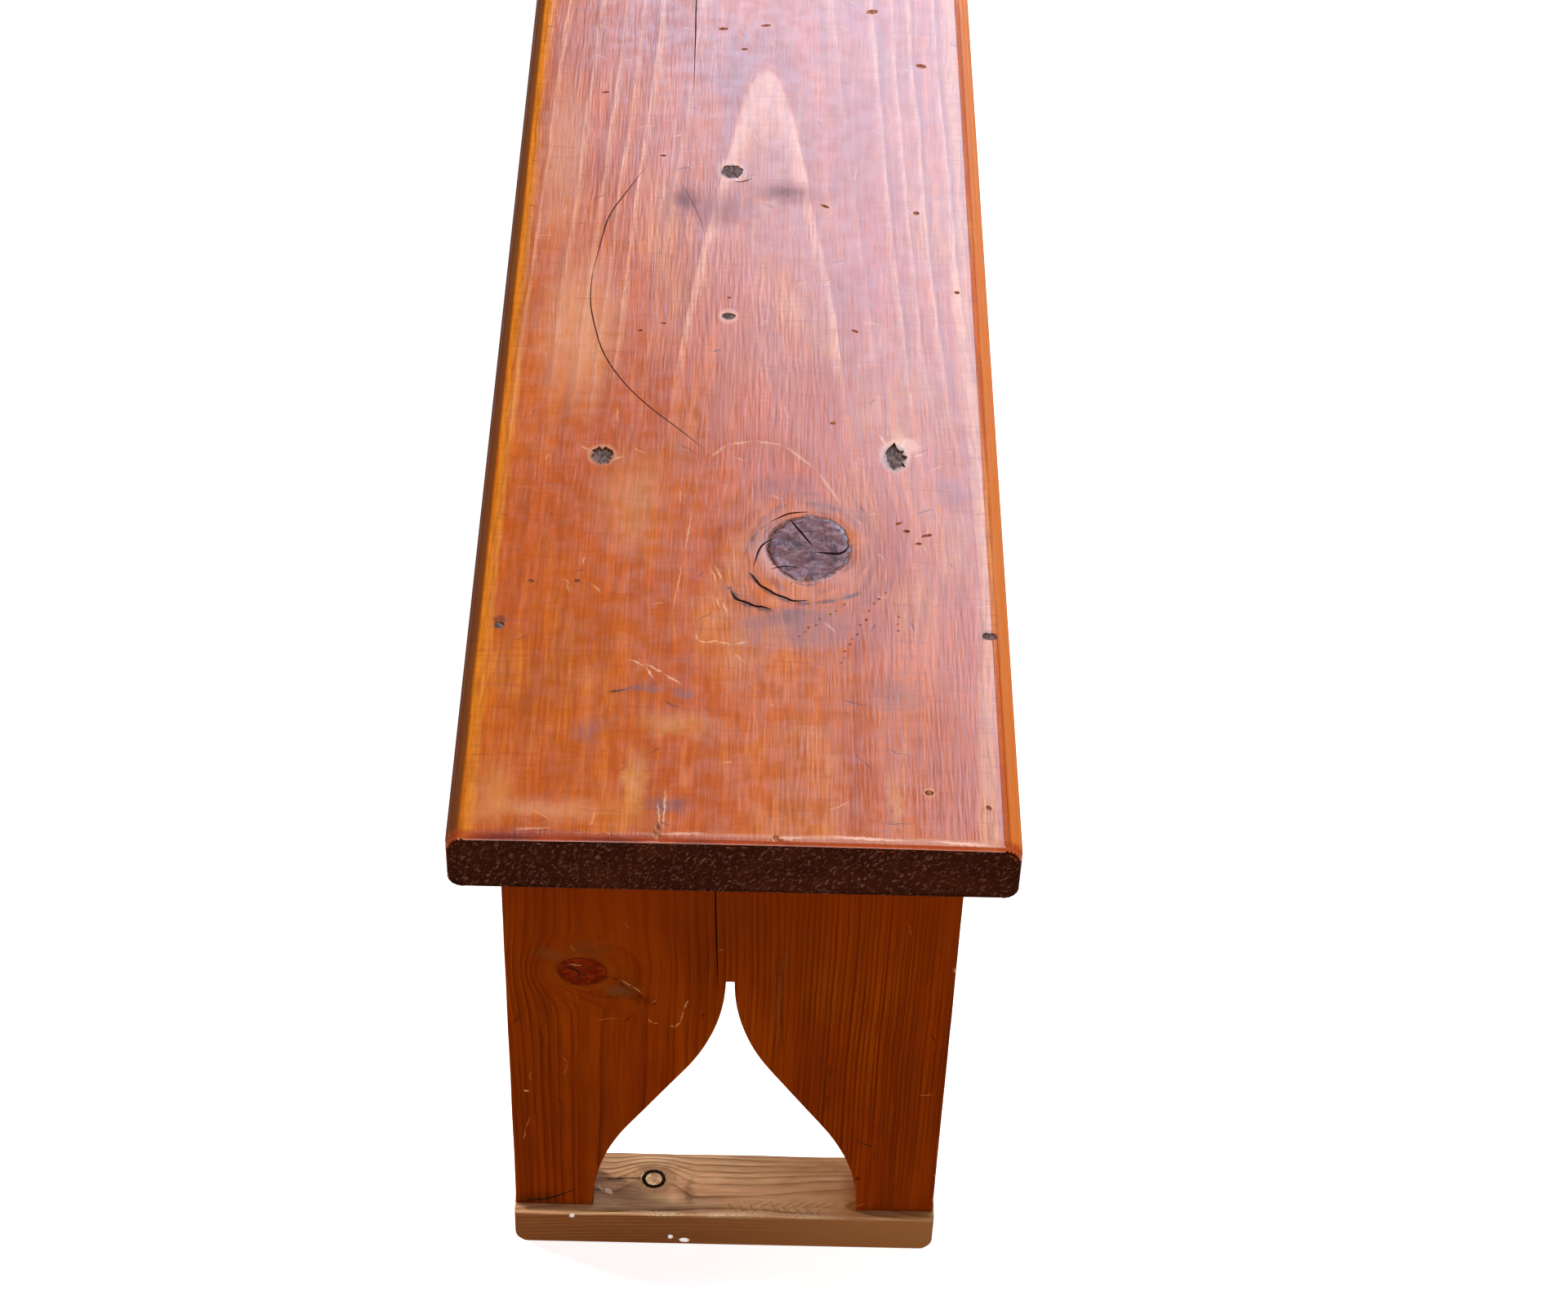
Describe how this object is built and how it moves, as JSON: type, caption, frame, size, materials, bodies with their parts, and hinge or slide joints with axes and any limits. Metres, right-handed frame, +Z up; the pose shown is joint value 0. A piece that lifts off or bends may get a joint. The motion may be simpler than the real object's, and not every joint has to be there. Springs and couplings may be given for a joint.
{
  "type": "monks bench",
  "caption": "Backless plank bench: a thick waxed pine seat on board legs with ogee arches, each standing on a low foot batten.",
  "frame": {"origin": "centre of the bench's footprint on the floor", "axes": "+Y along the seat with the near end at -Y, +X across it, +Z up"},
  "size_m": [0.28, 1.83, 0.457],
  "materials": {
    "waxed_pine": "stained and waxed",
    "worn_pine": "worn and scuffed",
    "dark_pine": "unfinished, dusty",
    "iron": "dull",
    "stopping": "matt"
  },
  "bodies": {
    "root": {"seat_plank": "waxed_pine", "centre_rail": "dark_pine", "near_leg": "waxed_pine", "far_leg": "waxed_pine", "near_foot_batten": "worn_pine", "far_foot_batten": "worn_pine", "near_seat_batten": "dark_pine", "far_seat_batten": "dark_pine", "near_seat_nails": "iron", "far_seat_nails": "iron", "near_leg_nails": "iron", "far_leg_nails": "iron", "near_foot_nails": "iron", "far_foot_nails": "iron", "centre_rail_nails": "iron", "seat_nail_fillers": "stopping", "old_hole_fillers": "stopping"}
  },
  "joints": []
}
